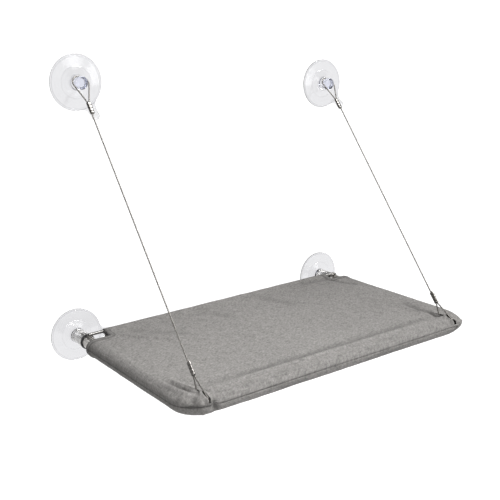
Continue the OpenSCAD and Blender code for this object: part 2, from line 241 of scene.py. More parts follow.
# %% A finish and its nodes
class Finish:
    """A material with one Principled shader. Constants are set on the shader's own sockets."""

    def __init__(self, name, constants):
        self.material = bpy.data.materials.new(name)
        self.material.use_nodes = True
        self.tree = self.material.node_tree
        self.shader = self.tree.nodes["Principled BSDF"]
        self.plug(self.shader, constants)

    def plug(self, node, inputs):
        for label, value in inputs.items():
            if isinstance(value, Value):
                self.tree.links.new(value.socket, node.inputs[label])
            else:
                node.inputs[label].default_value = value

    def add(self, kind, settings=None, inputs=None, output=0):
        """Adds a node: its settings first, then the values or links of its sockets."""
        node = self.tree.nodes.new("ShaderNode" + kind)
        for label, value in (settings or {}).items():
            setattr(node, label, value)
        self.plug(node, inputs or {})
        return Value(self, node.outputs[output])

    def parts(self, vector):
        """The x, y and z of a vector as three values."""
        node = self.tree.nodes.new("ShaderNodeSeparateXYZ")
        self.plug(node, {0: vector})
        return [Value(self, out) for out in node.outputs]

    def kept(self, label):
        """The number that the mesh keeps under a name for each of its points."""
        return self.add("Attribute", {"attribute_name": label}, output="Fac")

    def stretched(self, where, stretch):
        """Any vector stretched along the axes."""
        return self.add("Mapping", {}, {"Vector": where, "Scale": stretch})

    def place(self, stretch=(1, 1, 1)):
        """The surface point in metres, stretched along the axes so that a pattern follows one."""
        return self.stretched(self.add("TexCoord", output="Object"), stretch)

    def noise(self, scale, detail, rough=0.5, where=None):
        sizes = {"Scale": scale, "Detail": detail, "Roughness": rough}
        return self.add("TexNoise", {}, {"Vector": where or self.place(), **sizes})

    def mix(self, share, first, second):
        """A colour between two colours."""
        return self.add("Mix", {"data_type": "RGBA"}, {0: share, 6: first, 7: second}, 2)

    def tint(self, colour, strength):
        """A colour made lighter or darker by a value."""
        grey = self.add("CombineXYZ", {}, {0: strength, 1: strength, 2: strength})
        settings = {"data_type": "RGBA", "blend_type": "MULTIPLY"}
        return self.add("Mix", settings, {0: 1.0, 6: colour, 7: grey}, 2)

    def bump(self, height, distance, strength=1.0):
        return self.add("Bump", {}, {"Height": height, "Distance": distance, "Strength": strength})

    def wear(self, inputs):
        """Links what changes over the surface to the shader."""
        self.plug(self.shader, inputs)


# %% From a mesh under work to a finished piece
def built(name, bm, finish, sharp=None):
    """An object with a finish, smooth but for the edges that turn by more than an angle in degrees."""
    mesh = bpy.data.meshes.new(name)
    bm.to_mesh(mesh)
    mesh.shade_smooth()
    if sharp:
        mesh.set_sharp_from_angle(angle=radians(sharp))
    mesh.materials.append(finish.material)
    return bpy.data.objects.new(name, mesh)


def keep(piece, body, slot_name, *replaced):
    """Puts a finished piece in the scene in place of its solids and lets it move with its body."""
    shown.link(piece)
    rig.ride(piece, body)
    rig.slot(piece, slot_name)
    if replaced:
        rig.replaces(piece, *replaced)
    print(piece.name, len(piece.data.polygons), "faces, rides on", body)
    return piece


def only(kind, geometry):
    return [g for g in geometry if isinstance(g, kind)]


# %% [markdown]
# ## Floor, backdrop and light
# The object floats on white in the photograph, lit softly from the front and from above. A wide
# pale bowl, whose floor is far below, gives a plain white ground. Its left side is dimmer, as a
# studio's unlit side is, which gives the steel something dark to reflect. Six lamps light the perch:
#
# - The high lamp is large and stands in front and to the right. It makes the canvas's top bright and
#   leaves its left side dark.
# - The fill lamp is weak and near the front left corner, where it lifts the shadows.
# - The glass lamp stands beyond the glass, because from this side a tube that points at the glass
#   can only reflect what is behind it.
# - The window lamp and the side lamp are the bright patches that show in the cups.
# - The strip lamp is narrow and gives the round steel its streak of light.

# %% Stage
bowl_r, bowl_h, bowl_bend, bowl_floor = 9, 4.9, 2, -2
dim_until, bright_from = -2.2, 0.4


def studio_white():
    white = Finish("studio_white", {"Base Color": (0.3, 0.3, 0.3, 1), "Roughness": 0.9,
                                    "Emission Strength": 0.94})
    sideways = white.parts(white.place())[0]
    share = ((sideways - dim_until) / (bright_from - dim_until)).kept_in(0, 1)
    white.wear({"Emission Color": white.mix(share, (0.4, 0.4, 0.4, 1), (1, 1, 1, 1))})
    return white


def bowl():
    ground = bmesh.new()
    bmesh.ops.create_circle(ground, cap_ends=True, segments=64, radius=bowl_r)
    rim = [e for e in ground.edges if e.is_boundary]
    raised = bmesh.ops.extrude_edge_only(ground, edges=rim)["geom"]
    bmesh.ops.translate(ground, verts=only(bmesh.types.BMVert, raised), vec=(0, 0, bowl_h))
    bmesh.ops.bevel(ground, geom=rim, offset=bowl_bend, offset_type="OFFSET", affect="EDGES",
                    segments=8, profile=0.5, material=-1)
    bmesh.ops.recalc_face_normals(ground, faces=ground.faces)
    bmesh.ops.translate(ground, verts=ground.verts, vec=(0, 0, bowl_floor))
    stand = built("studio_bowl", ground, studio_white())
    shown.link(stand)
    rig.stage(stand)


bowl()
sky = bpy.data.worlds.new("soft_sky")
sky.use_nodes = True
sky.node_tree.nodes["Background"].inputs["Color"].default_value = (1, 1, 1, 1)
sky.node_tree.nodes["Background"].inputs["Strength"].default_value = 0.2
bpy.context.scene.world = sky
bpy.context.scene.view_settings.view_transform = "Standard"


# %% Lamps
def lamp(name, place, aim, size, power):
    light = bpy.data.lights.new(name, "AREA")
    light.shape = "RECTANGLE"
    light.size, light.size_y = size
    light.energy = power
    stand = bpy.data.objects.new(name, light)
    turn = (Vector(aim) - Vector(place)).to_track_quat("-Z", "Y").to_matrix().to_4x4()
    stand.matrix_world = Matrix.Translation(place) @ turn
    shown.link(stand)


lamp("high_lamp", (1.8, -1.6, 3.3), (0, -0.2, 0), (2.2, 2.2), 262)
lamp("fill_lamp", (-0.8, -1.3, 0.9), (-0.1, -0.3, 0), (0.4, 0.4), 6)
lamp("glass_lamp", (-1.15, 2.6, 1.2), (-0.25, 0, 0), (0.22, 1.6), 2.2)
lamp("window_lamp", (0.62, -1.9, 0.92), (-0.2, 0, 0.36), (0.32, 1.0), 2.8)
lamp("side_lamp", (1.17, -1.9, 0.42), (0.26, 0, 0.36), (0.45, 0.5), 1.9)
lamp("strip_lamp", (-1.9, -0.9, 1.9), (-0.2, -0.1, 0.1), (0.2, 1.4), 4.0)

# %% [markdown]
# ## The twisted wires
# Each wire is one rope of steel strands. It starts in the lower ferrule, goes round the front tube
# and back into the ferrule, climbs to the upper ferrule, and goes round the neck of the upper cup.
# The route is worked out from the same sizes as the solid's, then a lobed outline is swept along it
# and turned as it goes, which is how a rope gets its slanting strands. A curve does this by itself:
# its bevel object is the outline, and each point's tilt is the twist.

# %% Sizes of the frame and the wires, in metres
MM = 0.001
half_w, frame_d, bend_r, tube_r = 247.5 * MM, 346 * MM, 28 * MM, 10 * MM
bend_x, bend_y = half_w - bend_r, frame_d - bend_r
wire_r = 1 * MM
left_wire_top, right_wire_top = (-14 * MM, 391 * MM), (37 * MM, 355 * MM)
low_leg, top_leg, stub = 38 * MM, 48 * MM, 1.5 * MM
ferrule_len = 19 * MM
collar_y = 9.3 * MM
hook_r = 9.35 * MM
crown_r = 12.5 * MM
pair = wire_r + 0.0875 * MM
loop_parts = 60
loop_out = bend_r * sin(radians(14))
wire_x = bend_x + loop_out
loop_pass = tube_r + wire_r + 0.9 * MM
loop_far = sqrt((bend_r + loop_pass) ** 2 - loop_out ** 2)
loop_near = sqrt((bend_r - loop_pass) ** 2 - loop_out ** 2)
wire_y, loop_r = bend_y + (loop_far + loop_near) / 2, (loop_far - loop_near) / 2
run_y = wire_y - (collar_y + wire_r + 0.35 * MM)
print("the wires stand over x", round(wire_x, 4), "and y", round(-wire_y, 4))


# %% Route of a wire
def touch(along, aside, radius):
    """Turn at which a line from an outer point touches a circle."""
    return acos(radius / hypot(along, aside)) + atan2(aside, along)


def run_point(height, along, aside, out):
    """Point of an upright wire: along its run, aside in its plane, and out along X."""
    way = Vector((0, run_y, height)).normalized()
    return Vector((out, -wire_y, 0)) + way * along + Vector((0, way.z, -way.y)) * aside


def wire_height(top):
    return hypot(*top) + hook_r


def leaned(top, side):
    """The wire leans over about its foot until it reaches its cup. The left one is a mirror image."""
    lean = Matrix.Translation((wire_x, 0, 0)) @ Matrix.Rotation(atan2(*top), 4, "Y")
    return Matrix.Diagonal((side, 1, 1, 1)) @ lean


def wire_route(top, side):
    height = wire_height(top)
    length = hypot(run_y, height)
    low, high = low_leg + ferrule_len, length - top_leg - ferrule_len
    front, crown = touch(low_leg, pair, loop_r), pi - touch(top_leg - crown_r, pair, crown_r)
    marks = [(low + stub, -pair, 0), (low_leg, -pair, 0)]
    for i in range(loop_parts + 1):
        turn = -front - (2 * pi - 2 * front) * i / loop_parts
        marks.append((loop_r * cos(turn), loop_r * sin(turn), 0))
    marks += [(low_leg, pair, 0), (low, pair, 0), (high, 0, pair), (length - top_leg, 0, pair)]
    for i in range(loop_parts + 1):
        turn = crown * (1 - 2 * i / loop_parts)
        marks.append((length - crown_r * (1 - cos(turn)), 0, crown_r * sin(turn)))
    marks += [(length - top_leg, 0, -pair), (high - stub, 0, -pair)]
    return [leaned(top, side) @ run_point(height, *mark) for mark in marks]


def spaced(points, step):
    """The same route with a point about every step."""
    line = [points[0]]
    for a, b in zip(points, points[1:]):
        count = max(1, round((b - a).length / step))
        line += [a.lerp(b, i / count) for i in range(1, count + 1)]
    return line


# %% Finish of the wires
# Painted shade makes the colour near black in the grooves between the strands, lighter where they stand out. The sweep
# knows which point of the outline each vertex came from, and keeps that as an attribute for the finish.
wire_finish = Finish("twisted_steel", {"Metallic": 1.0})
groove = wire_finish.kept("groove")
wire_grain = wire_finish.noise(900, 3)
# Painted shade: the groove attribute darkens the colour in the crevices between the strands.
wire_finish.wear({
    "Base Color": wire_finish.mix(groove, (0.20, 0.19, 0.177, 1), (0.018, 0.017, 0.016, 1)),
    "Roughness": groove * 0.3 + wire_grain * 0.14 + 0.22,
})


# %% Sweep the wires
lobes, outline_points, lay_length = 3, 18, 11 * MM
thin_share, swell_share, groove_shade_gain, route_step = 0.86, 0.24, 3.2, 0.8 * MM


def outline_radius(i):
    return wire_r * (thin_share + swell_share * abs(cos(pi * lobes * i / outline_points)))


def twisted_wire(word, top, side):
    name, line = "wire_" + word, spaced(wire_route(top, side), route_step)
    strands = bpy.data.curves.new(name + "_outline", "CURVE")
    ring = strands.splines.new("POLY")
    ring.points.add(outline_points - 1)
    for i, point in enumerate(ring.points):
        turn = 2 * pi * i / outline_points
        point.co = (outline_radius(i) * cos(turn), outline_radius(i) * sin(turn), 0, 1)
    ring.use_cyclic_u = True
    outline = bpy.data.objects.new(name + "_outline", strands)
    rope = bpy.data.curves.new(name + "_line", "CURVE")
    rope.dimensions, rope.twist_mode = "3D", "MINIMUM"
    rope.bevel_mode, rope.bevel_object, rope.use_fill_caps = "OBJECT", outline, True
    spine = rope.splines.new("POLY")
    spine.points.add(len(line) - 1)
    walked = 0.0
    for i, point in enumerate(spine.points):
        walked += (line[i] - line[max(i - 1, 0)]).length
        point.co = (*line[i], 1)
        point.tilt = 2 * pi * walked / lay_length
    holder = bpy.data.objects.new(name + "_line", rope)
    for thing in (outline, holder):
        shown.link(thing)
    bpy.context.view_layer.update()
    mesh = bpy.data.meshes.new_from_object(holder.evaluated_get(bpy.context.evaluated_depsgraph_get()))
    for thing in (outline, holder):
        bpy.data.objects.remove(thing)
    mesh.materials.clear()
    mesh.materials.append(wire_finish.material)
    mesh.shade_smooth()
    # The groove attribute is painted shade: 0 on the strands, up to 1 in the crevices between them.
    depth = mesh.attributes.new("groove", "FLOAT", "POINT")
    radii = [outline_radius(i) for i in range(outline_points)]
    groove_shades = [min(1, groove_shade_gain * (1 - radius / radii[0])) for radius in radii]
    depth.data.foreach_set("value", [groove_shades[i % outline_points] for i in range(len(mesh.vertices))])
    wire = keep(bpy.data.objects.new(name, mesh), word + "_wire", "wire_steel", "cable_" + word)
    print(name, "is", round(walked, 4), "m long with", len(line), "points")
    return wire, line, walked


sides = (("left", -1, left_wire_top), ("right", 1, right_wire_top))
wires = {word: twisted_wire(word, top, side) for word, side, top in sides}

# %% [markdown]
# ## The crimped ferrules
# A ferrule is a short piece of oval tube that is pressed over two runs of wire. The press leaves it
# narrower in bands, with a soft swelling between them, and the two runs show through as two barrels.
# A circle whose halves are pulled apart is that oval. It is drawn up in small steps, and every
# step's ring is squeezed by how hard the press bit there. A second, smaller tube drawn inside it
# gives the wall, and bridging their ends closes the piece.

# %% Finish of the ferrules
pressed_finish = Finish("pressed_metal", {"Metallic": 1.0})
scuffs = pressed_finish.noise(420, 4, 0.6)
# Painted shade: the colour is near black where the pressed attribute is high, in the pressed bands and at the ends.
crimp_shade = pressed_finish.kept("pressed")
pressed_finish.wear({
    "Base Color": pressed_finish.mix(crimp_shade, (0.21, 0.202, 0.19, 1), (0.02, 0.019, 0.018, 1)),
    "Roughness": scuffs * 0.16 + 0.12,
    "Normal": pressed_finish.bump(scuffs, 0.00012),
})


# %% Press a ferrule
ferrule_wall, ferrule_rows, oval_points = 1.4 * MM, 38, 28
bands, first_band, bands_share = 3, 0.1, 0.8
press_bite, press_spread, waist_bite, end_bite, end_share = 0.13, 0.02, 0.10, 0.12, 0.05


def oval_ring(bm, radius):
    half_a_step = Matrix.Rotation(pi / oval_points, 4, "Z")
    made = bmesh.ops.create_circle(bm, segments=oval_points, radius=radius, matrix=half_a_step)["verts"]
    bmesh.ops.translate(bm, verts=[v for v in made if v.co.x > 0], vec=(pair, 0, 0))
    bmesh.ops.translate(bm, verts=[v for v in made if v.co.x <= 0], vec=(-pair, 0, 0))
    return list({e for v in made for e in v.link_edges})


def bite(share):
    """How far the press went in at this share of the length: three bands with swellings between."""
    return 0.5 - 0.5 * cos(2 * pi * bands * min(max((share - first_band) / bands_share, 0), 1))


def draw_out(bm, chain, steps):
    """Extrudes a chain of edges by each step in turn, and returns the last chain."""
    for step in steps:
        made = bmesh.ops.extrude_edge_only(bm, edges=chain)["geom"]
        ring = only(bmesh.types.BMVert, made)
        bmesh.ops.translate(bm, verts=ring, vec=step)
        fresh = set(ring)
        chain = [e for e in only(bmesh.types.BMEdge, made) if fresh.issuperset(e.verts)]
    return chain


def ferrule(word, level, top, side, along, quarter):
    bm = bmesh.new()
    pressed = bm.verts.layers.float.new("pressed")
    ends = []
    for radius in (pair + ferrule_wall, pair):
        first = oval_ring(bm, radius)
        ends += [first, draw_out(bm, first, [(0, 0, ferrule_len / ferrule_rows)] * ferrule_rows)]
    for v in bm.verts:
        share = v.co.z / ferrule_len
        waist = max(0.0, 1 - abs(v.co.x) / pair) * waist_bite
        end = max(0.0, 1 - min(share, 1 - share) / end_share) * end_bite
        if max(abs(v.co.y), abs(v.co.x) - pair) > wire_r + 0.3 * MM:
            v.co.y *= 1 - press_bite * bite(share) - waist - end
            v.co.x *= 1 + press_spread * bite(share) - end * 0.4
            # The pressed attribute is painted shade: strongest at the ends, half as strong in the pressed bands.
            v[pressed] = min(1, bite(share) * 0.5 + end * 4)
    bmesh.ops.bridge_loops(bm, edges=ends[0] + ends[2])
    bmesh.ops.bridge_loops(bm, edges=ends[1] + ends[3])
    bmesh.ops.remove_doubles(bm, verts=bm.verts, dist=1e-7)
    height = wire_height(top)
    stand = Matrix.Translation(run_point(height, along, 0, 0))
    tilt = Matrix.Rotation(-atan2(run_y, height), 4, "X")
    bm.transform(leaned(top, side) @ stand @ tilt @ Matrix.Rotation(quarter, 4, "Z"))
    bmesh.ops.recalc_face_normals(bm, faces=bm.faces)
    piece = built(f"crimp_{level}_{word}", bm, pressed_finish, 50)
    return keep(piece, word + "_wire", "ferrule_metal", f"{level}_ferrule_{word}")


clips = {}
for word, side, top in sides:
    upper_start = hypot(run_y, wire_height(top)) - top_leg - ferrule_len
    clips[word] = [ferrule(word, "upper", top, side, upper_start, 0),
                   ferrule(word, "lower", top, side, low_leg, pi / 2)]

for word, (wire, line, length) in wires.items():
    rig.cord(wire, exit=tuple(line[0]), length=length, diameter=2 * wire_r, far_end="object",
            stiffness="stiff", lay="taut", path=[tuple(p) for p in line], with_pieces=clips[word])

# %% [markdown]
# ## The suction cups
# All four cups are one moulding of clear soft plastic: a thin cone with a flat lip that seals on the
# glass, a thick middle, a collar, a neck and a round button. It is a turned shape, so half of its
# section is drawn once and spun a full turn. The pull tab is drawn out of the lip's own wall, row by
# row, in two hollow curves to a round tip, so that tab and cup stay one closed skin. That matters
# here, because light passes through it and an inner wall would show.

# %% Section of a cup
cup_r, pad_r, lip_t = 42 * MM, 24 * MM, 1.1 * MM
cup_h, hollow_h = 6.5 * MM, 2.4 * MM
button_r, neck_r, sleeve_out = 10 * MM, 8 * MM, 11.35 * MM
button_y = collar_y + 5 * MM
cup_len = button_y + 8.5 * MM
# Shares of the way along each slope, with the share of its height reached there.
hollow_slope = ((0, 1), (0.15, 0.985), (0.3, 0.93), (0.45, 0.83), (0.6, 0.68), (0.75, 0.46), (0.85, 0.28),
                (0.95, 0.09), (1, 0))
rim_slope = ((0.01, 0), (0.08, 0.01), (0.15, 0.02), (0.158, 0.04), (0.162, 0.32), (0.17, 0.37), (0.3, 0.46),
             (0.42, 0.55), (0.55, 0.64), (0.68, 0.74), (0.8, 0.82), (0.9, 0.9), (0.97, 0.95))
pad_slope = ((0, 0), (0.03, 0.13), (0.07, 0.19), (0.18, 0.28), (0.3, 0.35), (0.42, 0.46), (0.55, 0.58),
             (0.75, 0.78), (0.9, 0.92), (1, 1))


def rounded(r, h, in_r, in_h):
    """Three points that round a corner of a section, from its side to its end."""
    return [(r, h + in_h), (r + 0.3 * in_r, h + 0.3 * in_h), (r + in_r, h)]


def cup_section():
    """Radius and height, from the middle of the hollow out to the lip and back to the button's middle."""
    land, step_h, root = cup_r * 0.95, cup_h * 0.4, 1 * MM
    edge, fillet, soft = 0.7 * MM, 0.5 * MM, 1.19 * MM
    hollow = [(land * s, hollow_h * h) for s, h in hollow_slope]
    lip = [(cup_r - 0.35 * MM, 0), (cup_r, 0.35 * MM), (cup_r, lip_t - 0.15 * MM)]
    rim = [(cup_r - (cup_r - pad_r) * s, lip_t + (step_h - lip_t) * h) for s, h in rim_slope]
    pad = [(pad_r - (pad_r - sleeve_out - root) * s, step_h + (cup_h - step_h) * h) for s, h in pad_slope]
    collar = [(sleeve_out + 0.3 * MM, cup_h + 0.15 * MM), (sleeve_out, cup_h + edge)]
    collar += rounded(sleeve_out, collar_y, -edge, -edge) + rounded(neck_r, collar_y, fillet, fillet)[::-1]
    button = rounded(neck_r, button_y, fillet, -fillet) + rounded(button_r, button_y, -soft, soft)[::-1]
    button += rounded(button_r, cup_len, -soft, -soft)
    dimple = ((button_r - 2.2 * soft, 0), (button_r - 2.6 * soft, 0.35), (button_r - 3.2 * soft, 0.5),
              (2.5 * MM, 0.6), (1.2 * MM, 0.45), (0, 0.4))
    return hollow + lip + rim + pad + collar + button + [(r, cup_len - deep * MM) for r, deep in dimple]


# %% Finish of the cups
# Clear plastic hardly has a colour of its own. It shows by its edges: where the wall is thick it is greyer, and where
# it turns away refraction draws dark lines. How far a point is from the cup's axis says which part of the moulding it
# is on, so each vertex keeps that distance, and the colour is darkened on the rings, painted shade in place of those
# lines.
clear_finish = Finish("clear_soft_plastic", {"Transmission Weight": 1.0, "IOR": 1.46})
from_axis = clear_finish.kept("from_axis")


def ring_mask(centre, width, strength):
    """A ring round the axis: its whole strength at the centre line and none beyond its width."""
    return (1 - (from_axis - centre).math("ABSOLUTE") / width).kept_in(0, 1) * strength


smears = clear_finish.noise(38, 4, 0.6)
# Painted shade: dark rings where the moulding steps, in place of the dark lines that refraction draws there.
rings = (ring_mask(0.985, 0.05, 0.08) + ring_mask(0.9314, 0.005, 0.9) + ring_mask(0.573, 0.04, 0.06)
         + ring_mask(0.27, 0.03, 0.35) + ring_mask(0.225, 0.025, 0.25))
from_glass = clear_finish.kept("from_glass")
hub = ((from_glass - 0.45) * 8).kept_in(0, 1)
thin = ((from_axis - 1.0) * 12).kept_in(0, 1)
moulded = clear_finish.mix(thin, (0.71, 0.71, 0.724, 1), (0.80, 0.80, 0.81, 1))
moulded = clear_finish.mix(hub, moulded, (0.56, 0.59, 0.74, 1))
clear_finish.wear({
    "Base Color": clear_finish.mix((rings + smears * 0.12).kept_in(0, 1), moulded, (0.30, 0.30, 0.33, 1)),
    "Roughness": smears * 0.06 + 0.02,
    "Normal": clear_finish.bump(smears, 0.0008, 0.2),
})


# %% Turn a cup and draw out its tab
spin_steps = 96
tab_len, tip_r, flare, tab_rows = 24 * MM, 6.5 * MM, 16 * MM, 14
flare_turn, curved_share = radians(22.5), 0.75
bead_rows, bead_t = 3, 0.25 * MM


def lathe(outline, closed):
    """Spins a section of radius and height pairs a full turn about Z."""
    bm = bmesh.new()
    line = [bm.verts.new((r, 0, h)) for r, h in outline]
    for a, b in zip(line, line[1:] + line[:1] if closed else line[1:]):
        bm.edges.new((a, b))
    bmesh.ops.spin(bm, geom=bm.verts[:] + bm.edges[:], cent=(0, 0, 0), axis=(0, 0, 1),
                   angle=2 * pi, steps=spin_steps, use_merge=True)
    bmesh.ops.remove_doubles(bm, verts=bm.verts, dist=1e-6)
    bmesh.ops.recalc_face_normals(bm, faces=bm.faces)
    return bm


def tab_side(share):
    """The tab's edge at a share of its length, as distance from the axis and half width."""
    rim_x, rim_y = cos(flare_turn), sin(flare_turn)
    start = Vector((cup_r * rim_x, cup_r * rim_y))
    middle = Vector((start.x + flare * rim_x, tip_r + flare))
    if share < curved_share:
        settle = share / curved_share
        turn = pi + flare_turn + (pi / 2 - flare_turn) * settle
        arc = Vector((middle.x + flare * cos(turn), middle.y + flare * sin(turn)))
        first = Vector((middle.x - flare * rim_x, middle.y - flare * rim_y))
        return arc + (start - first) * (1 - settle)
    end = cup_r + tab_len - tip_r
    return Vector((middle.x + (end - middle.x) * (share - curved_share) / (1 - curved_share), tip_r))


def draw_tab(bm):
    across = bm.verts.layers.float.new("across")
    wall = [f for f in bm.faces
            if all(abs(v.co.xy.length - cup_r) < 1e-5 for v in f.verts)
            and abs(atan2(f.calc_center_median().y, f.calc_center_median().x)) < flare_turn]
    for v in {v for f in wall for v in f.verts}:
        v[across] = atan2(v.co.y, v.co.x) / flare_turn
    lip_bulge = cup_r * (1 - cos(flare_turn))
    for row in range(1, tab_rows + 1):
        share = row / tab_rows
        made = bmesh.ops.extrude_face_region(bm, geom=wall)["geom"]
        wall = only(bmesh.types.BMFace, made)
        side = tab_side(share)
        for v in only(bmesh.types.BMVert, made):
            u = v[across]
            lip_y, tip_y = sin(flare_turn * u) / sin(flare_turn), sin(pi / 2 * u)
            lip_x = (cos(flare_turn * u) - cos(flare_turn)) / (1 - cos(flare_turn))
            v.co.x = side.x + lip_bulge * lip_x * (1 - share) + tip_r * cos(pi / 2 * u) * share
            v.co.y = side.y * (lip_y * (1 - share) + tip_y * share)
            if row > tab_rows - bead_rows and v.co.z > lip_t / 2:
                v.co.z += bead_t


def suction_cup(level, word, x, z, tab_turn):
    bm = lathe(cup_section(), False)
    draw_tab(bm)
    distance, height = bm.verts.layers.float.new("from_axis"), bm.verts.layers.float.new("from_glass")
    for v in bm.verts:
        v[distance], v[height] = v.co.xy.length / cup_r, v.co.z / cup_len
    stand = Matrix.Translation((x, 0, z)) @ Matrix.Rotation(pi / 2, 4, "X")
    bm.transform(stand @ Matrix.Rotation(radians(tab_turn), 4, "Z"))
    piece = built(f"suction_{level}_{word}", bm, clear_finish, 48)
    keep(piece, f"{level}_{word}_suction", "clear_pvc", f"{level}_cup_{word}")


suction_cup("lower", "left", -half_w, 0, -8)
suction_cup("lower", "right", half_w, 0, -62)
suction_cup("upper", "left", -wire_x - left_wire_top[0], left_wire_top[1], -62)
suction_cup("upper", "right", wire_x + right_wire_top[0], right_wire_top[1], -44)

# %% [markdown]
# ## Sleeves, black rings, rod and tube
# A plated sleeve joins each end of the tube to the button of a cup, and a black ring closes its mouth.
# They are turned parts too, with rolled edges that catch the light. The tube and the rod keep their
# solids, because their shapes are right, and only get a finish. Plated steel is told by streaks
# that run along the tube, so its noise is stretched along Y, and the rod's along X. The streaks
# vary the colour strongly: partly drawing marks, partly painted reflections of bright and dark surroundings.

# %% Finishes of the steel and of the ring
def steel(name, stretch, colour, low, spread):
    """Bright steel with streaks along the direction in which the stretch is smallest, partly drawing marks and partly
    painted reflections.
    """
    finish = Finish(name, {"Metallic": 1.0})
    streak = finish.noise(34, 4, 0.6, finish.place(stretch))
    dull = finish.noise(55, 3, 0.6)
    # The streaks vary the colour from about a third to above its full value: partly drawing marks, partly painted
    # reflections.
    shade = (streak * 1.4 + dull * 0.1 + 0.35).kept_in(0.35, 1.35)
    finish.wear({
        "Base Color": finish.tint(colour, shade),
        "Roughness": (streak * spread + dull * 0.05 + low).kept_in(0.05, 1),
        "Normal": finish.bump(streak, 0.00006, 0.6),
    })
    return finish


socket_finish = steel("plated_sleeve", (14, 0.3, 14), (0.90, 0.885, 0.86, 1), 0.2, 0.09)
tube_finish = steel("drawn_tube", (12, 0.3, 12), (0.70, 0.68, 0.65, 1), 0.2, 0.1)
rod_finish = steel("drawn_rod", (0.3, 14, 14), (0.15, 0.146, 0.141, 1), 0.3, 0.1)
ring_finish = Finish("black_moulded_ring", {"Base Color": (0.016, 0.016, 0.017, 1)})
ring_grain = ring_finish.noise(1100, 3, 0.6)
ring_dust = ring_finish.noise(70, 3, 0.6)
ring_finish.wear({
    "Base Color": ring_finish.mix(ring_dust, (0.012, 0.012, 0.013, 1), (0.03, 0.03, 0.031, 1)),
    "Roughness": ring_grain * 0.2 + 0.38,
    "Normal": ring_finish.bump(ring_grain, 0.0001),
})
for node, finish in (("frame_tube", tube_finish), ("rear_crossbar", rod_finish)):
    nodes[node].data.materials.clear()
    nodes[node].data.materials.append(finish.material)

# %% Turn the sleeves and rings
bore_r, socket_y, socket_end, ring_end = 10.15 * MM, 9.65 * MM, 41.65 * MM, 44.85 * MM


def turned_part(name, node, x, outline, finish, slot_name):
    """A turned part on an axis along Y, whose heights are distances from the glass."""
    bm = lathe(outline, True)
    bm.transform(Matrix.Translation((x, 0, 0)) @ Matrix.Rotation(pi / 2, 4, "X"))
    keep(built(name, bm, finish, 40), "bed", slot_name, node)


def sleeve_section():
    """A tube with rolled ends and one shallow groove, which is rolled in near the cup."""
    out, lip, edge, groove_r = sleeve_out, 0.35 * MM, 0.1 * MM, sleeve_out - 0.22 * MM
    return [(bore_r, socket_y + lip), (bore_r + lip, socket_y), (out - lip, socket_y),
            (out - edge, socket_y + edge), (out, socket_y + lip), (out, socket_y + 2 * MM),
            (groove_r, socket_y + 2.3 * MM), (groove_r, socket_y + 2.9 * MM), (out, socket_y + 3.2 * MM),
            (out, socket_end - lip), (out - edge, socket_end - edge), (out - lip, socket_end),
            (bore_r + lip, socket_end), (bore_r, socket_end - lip)]


def ring_section():
    out, soft = 11.8 * MM, 0.5 * MM
    return [(bore_r, socket_end), (out - soft, socket_end), (out, socket_end + soft),
            *rounded(out, ring_end, -soft, -soft), (bore_r, ring_end)]


for word, x in (("left", -half_w), ("right", half_w)):
    turned_part("sleeve_" + word, "socket_" + word, x, sleeve_section(), socket_finish, "socket_steel")
    turned_part("mouth_ring_" + word, "socket_ring_" + word, x, ring_section(), ring_finish, "ring_plastic")

# %% [markdown]
# ## The canvas cover
# The cover is a flat bag: a top panel and an under panel, sewn together all round at half height, and
# closed at the back by a pocket that holds the rod. Each panel starts as one line, the section of the
# cloth from the flat bed over the tube to the seam. That line is drawn along the side, spun
# round the bend and drawn along the front, and the flat bed is drawn inwards from its inner end. The
# top panel then runs on over the rod, with the ends of its pocket closed, and the under panel's walls
# are drawn up to meet it. Only the left half is made, and mirrored. The folds are pressed in later.

# %% Sizes of the cover
cloth_t, sleeve_r, top_r = 1 * MM, 15.0576 * MM, 11.35 * MM
rod_y, rod_z, pocket_r = 48.65 * MM, 12.5 * MM, 3.85 * MM
sleeve_y, inner_x, tail_len, back_len = 70.65 * MM, 222.5 * MM, 9 * MM, 22 * MM
hem_w, hem_t = 9.5 * MM, 1.4 * MM
sag, under_sag = 4 * MM, 2 * MM

# %% Draw a panel
hair = 1e-6
side_steps, bend_steps, front_steps, roll_steps, wall_steps = 104, 26, 96, 16, 10
flat_stations = (0, 3, 4.2, 5.4, 6.6, 8.2, 9.6, 11, 12.6, 13.6, 14.2, 14.8, 15.4, 16, 17.2, 19, 21, 23,
                 25.5, 28)
side_stations = [sleeve_y + d * MM for d in (0, 0.9, 1.8, 2.8, 4, 5.4, 6.6, 7.4, 8.2, 9, 9.8, 11)]
side_left = bend_y - side_stations[-1]
side_stations += [side_stations[-1] + side_left * i / side_steps for i in range(1, side_steps + 1)]
along_front = [Vector((bend_x / front_steps, 0, 0))] * front_steps


def section(rise):
    """Distance out from the bend's centre and height, from the flat bed to the seam."""
    turns = [pi / 2 * (1 - i / roll_steps) for i in range(1, roll_steps + 1)]
    roll = [(bend_r + sleeve_r * cos(a), rise * sin(a)) for a in turns]
    return [(d * MM, rise) for d in flat_stations] + roll


def steps_along(route):
    """The steps from point to point of a route that is given by its Y and Z."""
    return [Vector((0, b[0] - a[0], b[1] - a[1])) for a, b in zip(route, route[1:])]


def edges_where(bm, test):
    """The edges whose two ends both pass a test of their place."""
    return [e for e in bm.edges if all(test(v.co) for v in e.verts)]


